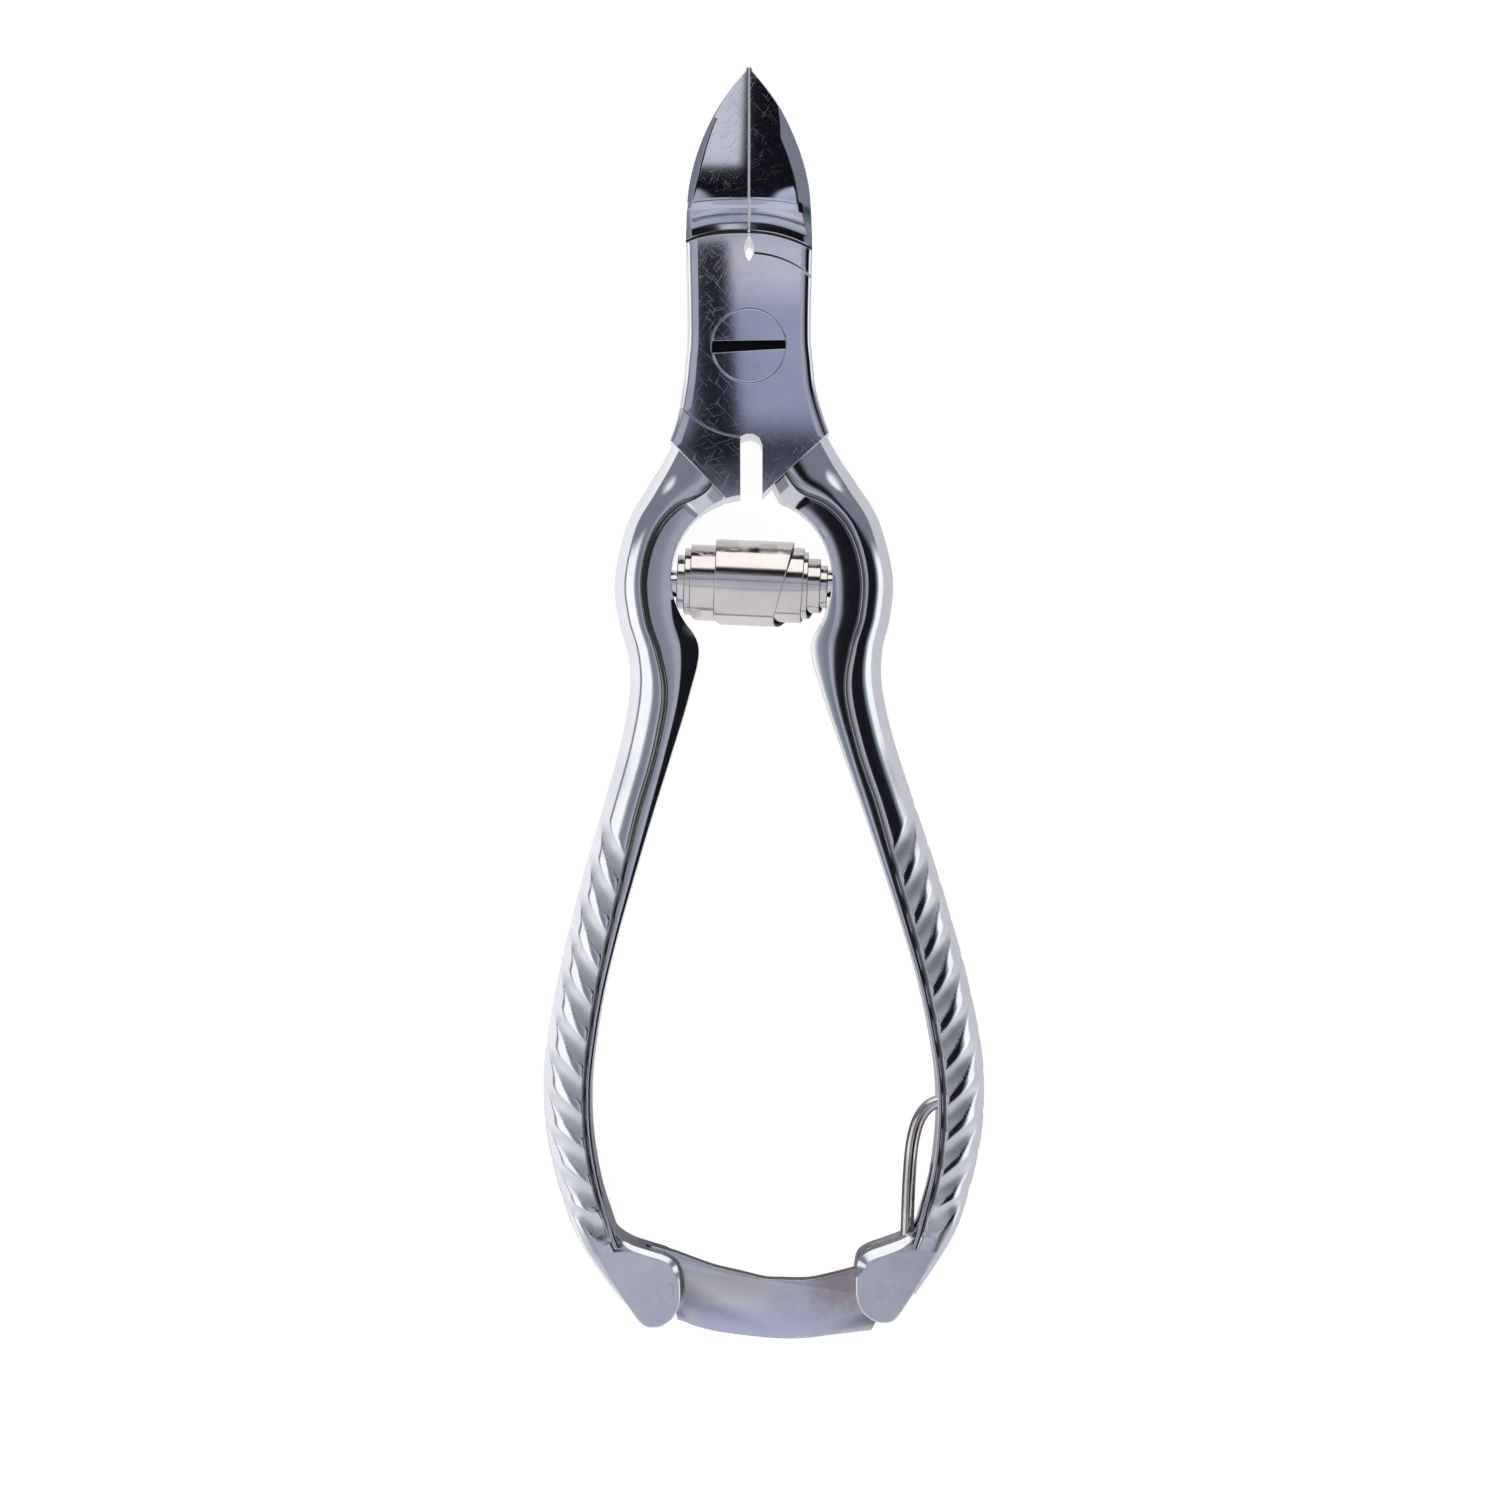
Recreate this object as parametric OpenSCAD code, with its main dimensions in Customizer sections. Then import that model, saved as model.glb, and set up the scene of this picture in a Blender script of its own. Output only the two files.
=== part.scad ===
// Toenail nipper with a barrel spring and a locking catch, closed and lying on its back.
// +Y points to the jaw tips and +Z is the pivot axis, towards the screw head. The origin is on the
// pivot axis at the back face. All sizes are in millimetres.

/* [Forgings] */
// Thickness of the closed joint and of the handles
body_t = 8; // [7.6:0.1:8.4]
// Radius of the round lap where the two halves cross
lap_r = 10; // [9.9:0.05:10.1]
// Gap between the halves where they slide on each other
slide_gap = 0.05; // [0.03:0.01:0.08]
// Distance from the pivot to the jaw tips
jaw_reach = 31; // [30:0.1:31.5]
// Half the width of the closed jaws at their base
jaw_half_w = 6.95; // [6.8:0.05:7.1]
// How far both handles swing out of line with the jaws, in degrees
handle_skew = 1.15; // [0:0.05:1.3]
// Radius of the round recess that holds the spring
recess_r = 8.9; // [8.8:0.05:9]

/* [Pivot] */
// Diameter of the screw's flush head
screw_head_d = 8.1; // [7.6:0.1:8.4]
// Thickness of the screw's head
screw_head_t = 1.8; // [1.4:0.1:2.2]
// Diameter of the screw's shank
screw_shank_d = 4.6; // [4:0.1:5]
// Width of the driver slot
screw_slot_w = 1; // [0.8:0.1:1.2]

/* [Spring] */
// Largest diameter of the barrel spring
spring_d = 9.6; // [9.2:0.1:9.6]
// Diameter of the pegs that hold the spring's ends
peg_d = 3; // [2.6:0.1:3.2]

/* [Catch] */
// Thickness of the catch bar
catch_t = 2; // [1.6:0.1:2.1]
// Width of the slots in the handle ends
fork_slot_w = 2.4; // [2.3:0.1:2.6]
// Thickness of the handle ends
fork_t = 7.4; // [7:0.1:7.4]
// Diameter of the pin that the catch bar turns on
catch_pin_d = 2; // [1.8:0.1:2]
// Diameter of the pin that the hook drops over
keeper_pin_d = 1.8; // [1.6:0.1:1.8]
// Diameter of the catch's wire spring
wire_d = 1.3; // [1.1:0.1:1.3]

/* [Hidden] */

mid_z = body_t / 2;
past = 1;
fine = 64;
steel = "#b9bcc8";
bright = "#c9c4bd";

plate_t = mid_z - slide_gap / 2;
recess_at = [0.3, -25.2];
spring_at = [0.25, -25.9];
catch_axis = [15.2, -103.7];
keeper_axis = [-9.15, -103.5];
fit = 0.05;

// Half outline of the joint, from the jaw base down to the handle shoulder.
joint_side = [[6.95, 13], [6.9, 8.5], [6.8, 4], [6.8, 0.5], [7, -1.6], [7.2, -3.8], [7.6, -6],
              [8.2, -8.2], [8.9, -10.1]];
// The slot between the shoulders, and where they end at the recess.
slot_half_w = 1.2;
shoulder_end = [[3.4, -16.3], [slot_half_w, -16.3]];

// Handle stations, from the joint to the fork: inner edge x, y, outer edge x, y, width of the thin
// inner flange, and thickness of that flange.
stations = [
  [1.9, -14.6, 7.7, -8.2, 1.8, 6.6],
  [3.4, -17.4, 9.6, -11.9, 2.4, 5.2],
  [5.9, -19.2, 11.7, -15.2, 2.9, 4.4],
  [7.6, -21.6, 14.0, -19.2, 3.3, 4.3],
  [8.4, -25.2, 15.4, -25.2, 3.6, 4.3],
  [7.8, -29.4, 15.05, -29.8, 3.9, 4.3],
  [6.2, -33.0, 14.1, -33.6, 4.4, 4.4],
  [7.4, -38.3, 14.0, -37.6, 2.5, 4.5],
  [9.5, -44.8, 15.1, -43.2, 1.9, 4.6],
  [11.7, -51.4, 17.1, -49.9, 1.5, 4.8],
  [13.8, -58.0, 19.2, -56.5, 1.1, 5.0],
  [15.8, -64.6, 21.1, -63.2, 0.8, 5.2],
  [17.5, -71.1, 22.85, -70.2, 0.6, 5.4],
  [18.7, -77.7, 24.15, -77.3, 0.5, 5.4],
  [19.1, -82.0, 24.4, -82.0, 0.5, 5.4],
  [19.0, -86.5, 24.05, -87.0, 0.5, 5.4],
  [18.3, -91.4, 22.9, -92.2, 0.5, 5.4],
  [17.1, -95.8, 21.1, -97.1, 0.5, 5.6],
  [15.3, -98.9, 18.8, -101.0, 0.5, 5.8],
  [13.3, -101.6, 16.3, -104.6, 0.5, 6.0],
];
steps_per_station = 3;

// Flat end of a handle, seen from the front.
fork_outline = [[17.4, -94.6], [16.7, -96.9], [15.1, -98.2], [13.1, -98.95], [11.2, -99.6],
                [10.1, -100.4], [9.75, -101.6], [9.65, -103], [9.7, -104.6], [10.2, -106], [11.1, -106.9],
                [12.3, -107.4], [13.8, -107.1], [15.3, -105.2], [17.0, -102.6], [18.7, -99.6],
                [20, -96.6]];
catch_slot = [[8, -110], [8, -90], [20.6, -90], [21.1, -91], [22, -95], [20.9, -98.6],
              [19.5, -101.5], [17.8, -103.9], [15.4, -106.4], [13.6, -110]];
keeper_slot = [[-4, -110], [-4, -94], [-11.5, -98], [-11.5, -104.6], [-10.6, -106.2], [-8.2, -110]];

// Catch bar outline in the position it has while the hook rides just above its pin.
hook_arc_r = norm(keeper_axis - catch_axis) - keeper_pin_d / 2 - fit;
function on_hook_arc(y) = [catch_axis[0] - sqrt(pow(hook_arc_r, 2) - pow(y - catch_axis[1], 2)), y];
catch_outline = [[-11.15, -99.6], [-10.7, -99.1], [-8.2, -99.8], [-4.1, -101.3], [-1, -102.05],
                 [1.75, -102.7], [3.7, -102.8], [6.6, -102.8], [9.5, -102.2], [12.2, -101.5],
                 [12.6, -100], [13, -99.4], [14.1, -99.1], [15.5, -98.75], [17, -98.3],
                 [17.75, -98.45], [17.2, -100.1], [17.2, -102], [17.1, -103.7], [16.2, -104.8],
                 [15.1, -105.7], [14.3, -107.1], [13.5, -108.4], [9.2, -108.9], [5.7, -109.3],
                 [1.75, -109.2], [-4.2, -108.4], on_hook_arc(-107.2), on_hook_arc(-105.5),
                 on_hook_arc(-103.7), on_hook_arc(-101.8), [-10.15, -101.8], [-10.15, -102.4],
                 [-11.15, -102.25]];

wire_tip = [17.4, -98.05];
wire_bend = [21, -86];
wire_bend_r = 3.4;
wire_seat_x = 23.4;

// Catmull-Rom interpolation through a list of equal-length vectors.
function at_end(list, i) = list[min(max(i, 0), len(list) - 1)];
function blend(a, b, c, d, t) =
  0.5 * (2 * b + (c - a) * t + (2 * a - 5 * b + 4 * c - d) * t * t
         + (3 * b - a - 3 * c + d) * t * t * t);
function smooth(list, steps) = [
  for (i = [0:len(list) - 2])
    for (k = [0:steps - (i == len(list) - 2 ? 0 : 1)])
      blend(at_end(list, i - 1), list[i], list[i + 1], at_end(list, i + 2), k / steps)
];

// One cross-section of a handle: u runs from the inner edge to the outer edge, and z is from the
// middle plane. A thin flange is followed by a step and a round ridge.
ridge_angles = [100, 75, 52, 30, 10];
function half_section(w, flange, flange_t) =
  let (step_u = flange + 0.4, top = body_t / 2, mid_u = step_u + 0.16 * (w - step_u))
  concat(
    [[0, flange_t / 2 - 0.7], [0.3, flange_t / 2], [flange, flange_t / 2 + 0.1],
     [step_u, top * 0.9]],
    [for (a = ridge_angles) [mid_u + (w - mid_u) * cos(a), top * sin(a)]]
  );
function section(w, flange, flange_t) =
  let (half = half_section(w, flange, flange_t), n = len(half))
  concat(half, [for (i = [n - 1:-1:0]) [half[i][0], -half[i][1]]]);

// Closed tube through rings that all have the same number of points.
module loft(rings) {
  n = len(rings[0]);
  last = len(rings) - 1;
  points = [for (ring = rings) for (p = ring) p];
  sides = [
    for (i = [0:last - 1])
      for (j = [0:n - 1])
        let (a = i * n + j, b = i * n + (j + 1) % n)
        each [[a, b + n, a + n], [a, b, b + n]]
  ];
  // Both ends are closed by strips between mirrored points of the section.
  caps = [
    for (j = [0:n / 2 - 2])
      let (m = n - 1 - j)
        each [[j, m - 1, j + 1], [j, m, m - 1],
              [last * n + j, last * n + j + 1, last * n + m - 1],
              [last * n + j, last * n + m - 1, last * n + m]]
  ];
  polyhedron(points, concat(sides, caps));
}

// A handle on the +X side, from the joint to its fork.
module handle_sweep() {
  path = smooth(stations, steps_per_station);
  loft([
    for (s = path)
      let (inner = [s[0], s[1]], across = [s[2], s[3]] - inner, w = norm(across))
      [for (p = section(w, s[4], s[5]))
        let (q = inner + across * (p[0] / w))
        [q[0], q[1], mid_z + p[1]]]
  ]);
}

// Everything of a half that is as thick as the whole body, on the +X side: the shoulder under the
// joint, the handle and the fork's cheeks.
module handle() {
  linear_extrude(body_t)
    polygon(concat([[slot_half_w, -7]], [for (p = joint_side) if (p[1] < -5) p], shoulder_end));
  handle_sweep();
  translate([0, 0, mid_z - fork_t / 2])
    linear_extrude(fork_t)
      polygon(fork_outline);
}

// Half of the closed jaws, on the +X side. The pointed outline is an arc, the front and the back
// are ground thinner towards the tip, and a hollow ends the ground face.
grind_y = 16.4;
grind_r = 9;
grind_depth = 0.9;
tip_t = 2.2;
tip_front_drop = 2.4;
module jaw() {
  ogive_r = (pow(jaw_reach - 13.5, 2) + pow(jaw_half_w, 2)) / (2 * jaw_half_w);
  slope_l = jaw_reach - grind_y;
  difference() {
    linear_extrude(body_t)
      polygon(concat(
        [[slide_gap / 2, 7], [jaw_half_w - 0.05, 7], [jaw_half_w, 13]],
        [for (i = [0:12])
          let (y = 13.5 + (jaw_reach - 13.5) * i / 12)
          [max(slide_gap / 2, jaw_half_w - ogive_r + sqrt(pow(ogive_r, 2) - pow(y - 13.5, 2))), y]]
      ));
    jaw_grind(body_t, 1, grind_depth, tip_front_drop, slope_l);
    jaw_grind(0, -1, grind_depth, body_t - tip_front_drop - tip_t, slope_l);
  }
}
// Removes what lies past the ground face: a slope and the hollow at its foot.
module jaw_grind(face_z, out, depth, drop, slope_l) {
  start_z = face_z - out * depth;
  end_z = face_z - out * drop;
  far_z = face_z + out * 3;
  rotate([90, 0, 90])
    linear_extrude(2 * jaw_half_w)
      polygon([[grind_y, start_z], [grind_y + slope_l + 2, end_z], [grind_y + slope_l + 2, far_z],
               [grind_y, far_z]]);
  translate([0, grind_y, start_z + out * grind_r])
    rotate([0, 90, 0])
      cylinder(r = grind_r + 0.01, h = 2 * jaw_half_w, $fn = fine);
}

// The joint's own plate, which lies under or over the other half's plate.
module joint_plate() {
  intersection() {
    linear_extrude(plate_t)
      polygon(concat(joint_side, [for (i = [len(joint_side) - 1:-1:0])
                                   [-joint_side[i][0], joint_side[i][1]]]));
    cylinder(r = lap_r, h = body_t, $fn = fine * 2);
  }
}

// One forging. side is where its jaw is: 1 for the half behind, -1 for the half in front.
module forging(side) {
  plate_z = side > 0 ? 0 : body_t - plate_t;
  difference() {
    union() {
      scale_x(side)
        jaw();
      rotate([0, 0, handle_skew])
        scale_x(-side)
          handle();
    }
    // The other half's plate turns in here.
    translate([0, 0, side > 0 ? plate_t : -past])
      cylinder(r = lap_r + slide_gap, h = body_t - plate_t + past, $fn = fine * 2);
    // Round notch at the root of the cutting edges.
    translate([0, lap_r + 0.7, -past])
      cylinder(r = 0.7, h = body_t + 2 * past, $fn = fine);
    // Recess for the spring.
    cross_hole(recess_at, 2 * recess_r);
  }
  translate([0, 0, plate_z])
    joint_plate();
}
module scale_x(side) {
  if (side > 0)
    children();
  else
    mirror([1, 0, 0])
      children();
}

module fork_cut(outline) {
  translate([0, 0, mid_z - fork_slot_w / 2])
    linear_extrude(fork_slot_w)
      polygon(outline);
}
module cross_hole(at, d) {
  translate([at[0], at[1], -past])
    cylinder(d = d, h = body_t + 2 * past, $fn = fine);
}

// Left and right pegs stand on the recess wall, in line with the spring.
peg_l = 5;
peg_sunk = 2.2;
module peg_place(side) {
  translate([spring_at[0] + side * (recess_r + peg_sunk), spring_at[1], mid_z])
    rotate([0, -side * 90, 0])
      children();
}

module back_half() {
  color(steel)
    difference() {
      forging(1);
      cross_hole([0, 0], screw_shank_d);
      fork_cut(keeper_slot);
      cross_hole(keeper_axis, keeper_pin_d);
      peg_place(-1)
        cylinder(d = peg_d, h = peg_l, $fn = fine);
    }
}

module front_half() {
  color(steel)
    difference() {
      forging(-1);
      cross_hole([0, 0], screw_shank_d + 2 * fit);
      translate([0, 0, body_t - screw_head_t])
        cylinder(d = screw_head_d + 2 * fit, h = screw_head_t + past, $fn = fine * 2);
      fork_cut(catch_slot);
      cross_hole(catch_axis, catch_pin_d);
      translate([wire_bend[0], wire_bend[1] + wire_bend_r, mid_z])
        rotate([0, 90, 0])
          cylinder(d = wire_d, h = wire_seat_x - wire_bend[0], $fn = fine);
      peg_place(1)
        cylinder(d = peg_d, h = peg_l, $fn = fine);
    }
}

module pivot_screw() {
  slot_depth = 0.8;
  slot_turn = 3;
  color(steel)
    difference() {
      union() {
        cylinder(d = screw_shank_d, h = body_t - screw_head_t + 2 * fit, $fn = fine);
        translate([0, 0, body_t - screw_head_t + fit])
          cylinder(d = screw_head_d, h = screw_head_t - fit, $fn = fine * 2);
      }
      rotate([0, 0, slot_turn])
        translate([-screw_head_d, -screw_slot_w / 2, body_t - slot_depth])
          cube([2 * screw_head_d, screw_slot_w, slot_depth + past]);
    }
}

// Steps of the wound strip along the barrel: where each turn starts, and its outer diameter.
spring_turns = [[-7.95, 6], [-7.35, 7.3], [-6.75, 8.2], [-4.05, spring_d], [4, 8.4], [5.65, 7.6],
                [6.25, 6.2], [7.75, 4.8]];
spring_end = 8.2;
spring_bore_d = 3.6;
module barrel_spring() {
  outer = [
    for (i = [0:len(spring_turns) - 1])
      let (r = spring_turns[i][1] / 2,
           from = spring_turns[i][0],
           to = i < len(spring_turns) - 1 ? spring_turns[i + 1][0] : spring_end)
      each [[r, from], [r, to]]
  ];
  color(bright)
    translate([spring_at[0], spring_at[1], mid_z])
      rotate([0, 90, 0])
        rotate_extrude($fn = fine * 2)
          polygon(concat([[spring_bore_d / 2, spring_turns[0][0]]], outer,
                         [[spring_bore_d / 2, spring_end]]));
}

module spring_peg() {
  nose = 0.5;
  rotate_extrude($fn = fine)
    polygon([[0, 0], [peg_d / 2, 0], [peg_d / 2, peg_l - nose], [peg_d / 2 - nose, peg_l],
             [0, peg_l]]);
}
module spring_peg_left() {
  color(steel)
    peg_place(-1)
      spring_peg();
}
module spring_peg_right() {
  color(steel)
    peg_place(1)
      spring_peg();
}

module catch_bar() {
  color(steel)
    difference() {
      translate([0, 0, mid_z - catch_t / 2])
        linear_extrude(catch_t)
          polygon(catch_outline);
      cross_hole(catch_axis, catch_pin_d + 2 * fit);
    }
}

module fork_pin(at, d) {
  color(steel)
    translate([at[0], at[1], mid_z - fork_t / 2])
      cylinder(d = d, h = fork_t, $fn = fine);
}
module catch_pin() {
  fork_pin(catch_axis, catch_pin_d);
}
module keeper_pin() {
  fork_pin(keeper_axis, keeper_pin_d);
}

// The wire leaves the handle's inner wall, bends down and presses on the catch bar's tail.
module catch_wire() {
  leg_top = [wire_bend[0] - wire_bend_r, wire_bend[1]];
  leg = wire_tip - leg_top;
  color(bright) {
    translate([wire_bend[0], wire_bend[1] + wire_bend_r, mid_z])
      rotate([0, 90, 0])
        cylinder(d = wire_d, h = wire_seat_x - wire_bend[0], $fn = fine);
    translate([wire_bend[0], wire_bend[1], mid_z])
      rotate([0, 0, 90])
        rotate_extrude(angle = 90, $fn = fine * 2)
          translate([wire_bend_r, 0])
            circle(d = wire_d, $fn = fine);
    translate([leg_top[0], leg_top[1], mid_z])
      rotate([90, 0, atan2(leg[1], leg[0]) + 90])
        cylinder(d = wire_d, h = norm(leg), $fn = fine);
  }
}

back_half();
front_half();
pivot_screw();
barrel_spring();
spring_peg_left();
spring_peg_right();
catch_bar();
catch_pin();
keeper_pin();
catch_wire();
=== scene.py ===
import math

import bmesh
import bpy
import numpy as np
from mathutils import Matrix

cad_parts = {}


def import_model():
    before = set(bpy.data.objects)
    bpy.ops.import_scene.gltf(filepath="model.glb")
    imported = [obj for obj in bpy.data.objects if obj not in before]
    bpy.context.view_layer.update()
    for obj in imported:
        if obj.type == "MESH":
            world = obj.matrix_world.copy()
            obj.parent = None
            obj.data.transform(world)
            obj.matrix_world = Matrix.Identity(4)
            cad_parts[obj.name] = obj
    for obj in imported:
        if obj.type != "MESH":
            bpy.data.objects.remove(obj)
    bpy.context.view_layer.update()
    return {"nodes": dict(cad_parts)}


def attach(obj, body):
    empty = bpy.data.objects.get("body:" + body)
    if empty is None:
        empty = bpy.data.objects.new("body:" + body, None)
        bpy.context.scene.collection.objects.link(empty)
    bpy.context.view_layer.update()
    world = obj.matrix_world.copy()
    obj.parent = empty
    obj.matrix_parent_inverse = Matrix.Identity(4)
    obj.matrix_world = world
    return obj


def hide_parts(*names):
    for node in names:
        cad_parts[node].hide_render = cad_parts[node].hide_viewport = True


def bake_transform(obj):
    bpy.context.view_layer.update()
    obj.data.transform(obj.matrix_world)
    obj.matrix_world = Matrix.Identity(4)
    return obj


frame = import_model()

MM = 0.001

# ---------------------------------------------------------------- driving sizes, in millimetres
BODY_T = 8.0
MID_Z = BODY_T / 2
LAP_R = 10.0
PLATE_SPLIT = 0.025
HANDLE_SKEW = 1.15
RECESS_AT = (0.3, -25.2)
RECESS_R = 8.9
JAW_BASE_Y = 13.5
JAW_TIP_Y = 31.0
JAW_HALF_W = 6.95
FORK_HALF_T = 3.7
FORK_SLOT_HALF = 1.2
CATCH_AXIS = (15.2, -103.7)
KEEPER_AXIS = (-9.15, -103.5)
PIN_FIT_R = 1.05
SCREW_HEAD_R = 4.05
SCREW_HEAD_T = 1.8
SCREW_SHANK_R = 2.3
SPRING_AT = (0.25, -25.9)

# Half width of the joint below the jaws: x at y.
JOINT_SIDE = [(6.95, 13.5), (6.93, 11), (6.9, 8.5), (6.8, 4), (6.8, 0.5), (7.0, -1.6), (7.2, -3.8),
              (7.6, -6), (8.2, -8.2), (8.9, -10.1), (9.9, -12.6), (11.5, -16.5)]

# Handle stations from the joint to the fork: inner edge x, y, outer edge x, y, width of the thin
# inner flange, its thickness, and the width of the chamfer on its inner edge.
STATIONS = [
    (1.9, -14.6, 7.7, -8.2, 1.8, 4.6, 0.3),
    (3.4, -17.4, 9.6, -11.9, 2.2, 4.5, 0.3),
    (5.9, -19.2, 11.7, -15.2, 2.9, 4.4, 0.3),
    (7.6, -21.6, 14.0, -19.2, 3.3, 4.3, 0.3),
    (8.4, -25.2, 15.4, -25.2, 3.6, 4.3, 0.3),
    (7.8, -29.4, 15.05, -29.8, 3.9, 4.3, 0.9),
    (6.2, -33.0, 14.1, -33.6, 4.4, 4.4, 1.7),
    (7.4, -38.3, 14.0, -37.6, 2.5, 4.5, 1.0),
    (9.5, -44.8, 15.1, -43.2, 1.65, 4.6, 0.6),
    (11.7, -51.4, 17.1, -49.9, 1.5, 4.8, 0.35),
    (13.8, -58.0, 19.2, -56.5, 1.1, 5.0, 0.25),
    (15.8, -64.6, 21.1, -63.2, 0.8, 5.2, 0.2),
    (17.5, -71.1, 22.85, -70.2, 0.6, 5.4, 0.2),
    (18.7, -77.7, 24.15, -77.3, 0.5, 5.4, 0.2),
    (19.1, -82.0, 24.4, -82.0, 0.5, 5.4, 0.2),
    (19.0, -86.5, 24.05, -87.0, 0.5, 5.4, 0.2),
    (18.3, -91.4, 22.9, -92.2, 0.5, 5.4, 0.2),
    (17.1, -95.8, 21.1, -97.1, 0.5, 5.6, 0.2),
    (15.9, -99.3, 18.7, -101.0, 0.5, 5.8, 0.2),
    (14.1, -102.2, 16.2, -104.5, 0.5, 6.0, 0.2),
]
RING_STEP = 0.22
CHAMFER_SLOPE = 0.42
FLANGE_FALL = 0.11
# Strength of the painted shade on the wall between the flange and the ridge.
WALL_SHADE = 1.0
# How far a handle stays below the joint's faces, so that no two faces share a plane.
UNDER = 0.02

# Where the flat of each shoulder ends: from its outer corner to its inner one.
FLAT_EDGE = {-1: ((8.45, -10.6), (3.2, -16.3)), 1: ((8.2, -10.0), (1.35, -16.1))}
# The ground band below that edge: the step down to it, its slope, its width, and how far it takes
# to run out.
BAND_STEP = 0.03
BAND_SLOPE = 0.3
BAND_W = 1.4
BAND_FADE = 2.6

FORK_OUTLINE = [(17.4, -94.6), (16.7, -96.9), (15.1, -98.2), (13.1, -98.95), (11.2, -99.6),
                (10.1, -100.4), (9.75, -101.6), (9.65, -103), (9.7, -104.6), (10.2, -106), (11.1, -106.9),
                (12.3, -107.4), (13.8, -107.1), (15.3, -105.2), (17.0, -102.6), (18.7, -99.6),
                (20, -96.6)]
# Where the handle's section starts to turn into the fork's, and over what length.
FORK_BLEND_Y = -92.5
FORK_BLEND = 9
# Width of the bevel along the upper edge of each fork, that of its other edges, and their slope.
FORK_BEVEL = {-1: 0.55, 1: 0.9}
FORK_EDGE = 0.14
BEVEL_SLOPE = 0.85
# How far the fork's faces dive into the handle above it.
FORK_DIVE = 1.9
CATCH_SLOT = [(8, -110), (8, -90), (20.6, -90), (21.1, -91), (22, -95), (20.9, -98.6),
              (19.5, -101.5), (17.8, -103.9), (15.4, -106.4), (13.6, -110)]
KEEPER_SLOT = [(-4, -110), (-4, -94), (-11.5, -98), (-11.5, -104.6), (-10.6, -106.2), (-8.2, -110)]

CATCH_T = 2.0
CATCH_EDGE = 0.07
HOOK_ARC_R = 23.4


# ---------------------------------------------------------------- small helpers
def spline(points, count):
    """Catmull-Rom curve through rows of numbers, evenly spaced in its own parameter."""
    p = np.asarray(points, float)
    t = np.linspace(0, len(p) - 1, count)
    i = np.minimum(t.astype(int), len(p) - 2)
    u = (t - i)[:, None]
    a, b, c, d = (p[np.clip(i + k, 0, len(p) - 1)] for k in (-1, 0, 1, 2))
    return 0.5 * (2 * b + (c - a) * u + (2 * a - 5 * b + 4 * c - d) * u ** 2
                  + (3 * b - a - 3 * c + d) * u ** 3)


def smoothstep(t):
    t = np.clip(t, 0, 1)
    return t * t * (3 - 2 * t)


def turned(x, y, degrees):
    c, s = math.cos(math.radians(degrees)), math.sin(math.radians(degrees))
    return c * x - s * y, s * x + c * y


# Values from 0 to 1, which the materials read: painted shade in corners and hollows, and matt flutes.
# They are kept at the corners of the faces, so that they come through cuts.
LAYERS = ("painted_shade", "satin")


def mesh_piece(name, verts, faces):
    """Object from points in millimetres, with its faces turned outwards."""
    mesh = bpy.data.meshes.new(name)
    mesh.from_pydata((np.asarray(verts, float) * MM).tolist(), [], faces)
    bm = bmesh.new()
    bm.from_mesh(mesh)
    bmesh.ops.recalc_face_normals(bm, faces=bm.faces)
    bm.to_mesh(mesh)
    bm.free()
    for layer in LAYERS:
        mesh.attributes.new(layer, "FLOAT", "CORNER")
    piece = bpy.data.objects.new(name, mesh)
    bpy.context.scene.collection.objects.link(piece)
    return piece


def paint(piece, layer, values):
    """Fills one of the layers from a value for each of the piece's points."""
    mesh = piece.data
    corners = np.empty(len(mesh.loops), np.int32)
    mesh.loops.foreach_get("vertex_index", corners)
    values = np.asarray(values, np.float32).ravel()[corners]
    mesh.attributes[layer].data.foreach_set("value", values)
    return piece


def loft(name, rings):
    """Closed tube through rings that all have the same number of points."""
    rings = np.asarray(rings, float)
    count, n = rings.shape[:2]
    faces = [(i * n + j, i * n + (j + 1) % n, (i + 1) * n + (j + 1) % n, (i + 1) * n + j)
             for i in range(count - 1) for j in range(n)]
    faces.append(tuple(range(n)))
    faces.append(tuple((count - 1) * n + j for j in range(n)))
    return mesh_piece(name, rings.reshape(-1, 3), faces)


def prism(name, outline, low, high):
    return loft(name, [[(x, y, z) for x, y in outline] for z in (low, high)])


def circle(at, r, count=96):
    return [(at[0] + r * math.cos(2 * math.pi * k / count),
             at[1] + r * math.sin(2 * math.pi * k / count)) for k in range(count)]


def disc(name, at, r, low, high, count=96):
    return prism(name, circle(at, r, count), low, high)


def inset(outline, widths):
    """Outline moved inwards by a width at each point. The outline runs anticlockwise."""
    p = np.asarray(outline, float)
    ahead = np.roll(p, -1, 0) - p
    ahead /= np.linalg.norm(ahead, axis=1)[:, None]
    normal = np.stack([-ahead[:, 1], ahead[:, 0]], 1)
    both = normal + np.roll(normal, 1, 0)
    both /= np.maximum((both * np.roll(normal, 1, 0)).sum(1), 0.4)[:, None]
    return p + both * np.broadcast_to(np.asarray(widths, float), (len(p),))[:, None]


def anticlockwise(outline):
    p = np.asarray(outline, float)
    area = (p[:, 0] * np.roll(p[:, 1], -1) - np.roll(p[:, 0], -1) * p[:, 1]).sum()
    return p if area > 0 else p[::-1]


def plate(name, outline, low, high, edge, steps=3):
    """Flat plate with both its rims rounded by an edge width."""
    outline = anticlockwise(outline)
    rings = []
    for k in range(steps + 1):
        a = math.pi / 2 * k / steps
        flat = inset(outline, edge * (1 - math.sin(a)))
        rings.append(np.column_stack([flat, np.full(len(flat), low + edge * (1 - math.cos(a)))]))
    upper = [np.column_stack([r[:, :2], low + high - r[:, 2]]) for r in reversed(rings)]
    return loft(name, rings + upper)


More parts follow.
